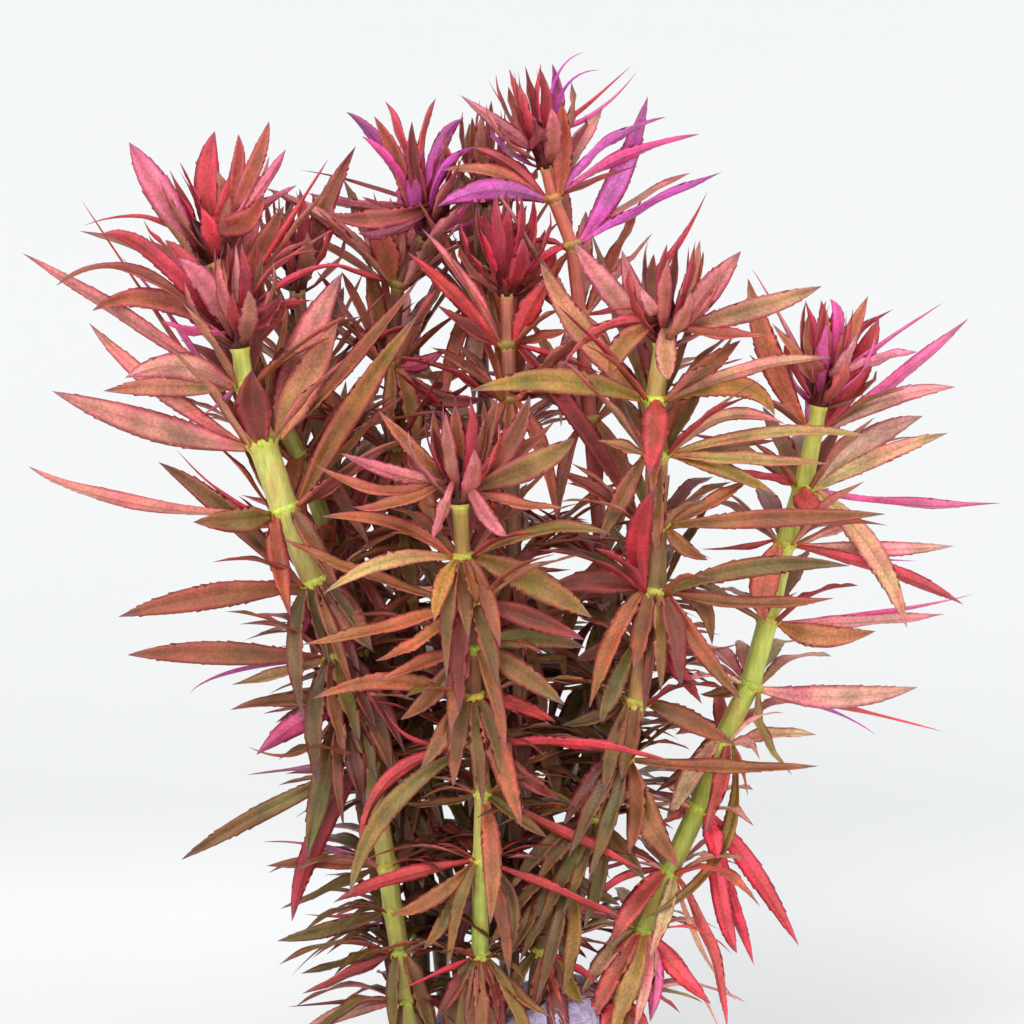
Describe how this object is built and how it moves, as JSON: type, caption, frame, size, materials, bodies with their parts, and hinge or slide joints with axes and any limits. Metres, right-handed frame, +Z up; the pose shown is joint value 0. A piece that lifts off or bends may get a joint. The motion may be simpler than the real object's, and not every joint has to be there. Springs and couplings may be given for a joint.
{
  "type": "aquarium stem plant bunch",
  "caption": "Bunch of leafy aquarium stems with whorls of narrow toothed leaves, pink-red above and olive-brown below, its cut feet held in a flat-bottomed rock wool plug.",
  "frame": {"origin": "middle of the rock wool plug's flat underside, where the bunch stands", "axes": "+Z up along the stems, -Y towards the side seen in the front view, +X to that view's right"},
  "size_m": [0.2437, 0.1145, 0.2676],
  "materials": {
    "stem": "satin lime-yellow stem, fine ribs",
    "leaf": "satin rust-brown to olive upper side, salmon to rose underside",
    "crown_leaf": "satin rose to salmon young leaves, maroon at the base",
    "rock_wool": "matt fibrous lilac-grey"
  },
  "bodies": {
    "root": {"back_crown": "crown_leaf", "back_left_crown": "crown_leaf", "back_left_stem": "stem", "back_left_whorl_1": "leaf", "back_stem": "stem", "back_whorl_1": "leaf", "centre_crown": "crown_leaf", "centre_right_crown": "crown_leaf", "centre_right_stem": "stem", "centre_right_whorl_1": "leaf", "centre_right_whorl_2": "leaf", "centre_right_whorl_3": "leaf", "centre_right_whorl_4": "leaf", "centre_right_whorl_5": "leaf", "centre_right_whorl_6": "leaf", "centre_stem": "stem", "centre_whorl_1": "leaf", "centre_whorl_2": "leaf", "front_crown": "crown_leaf", "front_stem": "stem", "front_whorl_1": "leaf", "front_whorl_2": "leaf", "front_whorl_3": "leaf", "front_whorl_4": "leaf", "front_whorl_5": "leaf", "left_back_crown": "crown_leaf", "left_back_stem": "stem", "left_back_whorl_1": "leaf", "left_back_whorl_2": "leaf", "left_front_crown": "crown_leaf", "left_front_stem": "stem", "left_front_whorl_1": "leaf", "left_front_whorl_2": "leaf", "left_front_whorl_3": "leaf", "left_front_whorl_4": "leaf", "left_front_whorl_5": "leaf", "left_front_whorl_6": "leaf", "right_crown": "crown_leaf", "right_stem": "stem", "right_whorl_1": "leaf", "right_whorl_2": "leaf", "right_whorl_3": "leaf", "right_whorl_4": "leaf", "right_whorl_5": "leaf", "right_whorl_6": "leaf", "right_whorl_7": "leaf", "rock_wool_plug": "rock_wool", "top_crown": "crown_leaf", "top_left_crown": "crown_leaf", "top_left_stem": "stem", "top_left_whorl_1": "leaf", "top_left_whorl_2": "leaf", "top_stem": "stem", "top_whorl_1": "leaf", "top_whorl_2": "leaf", "top_whorl_3": "leaf", "top_whorl_4": "leaf"}
  },
  "joints": []
}
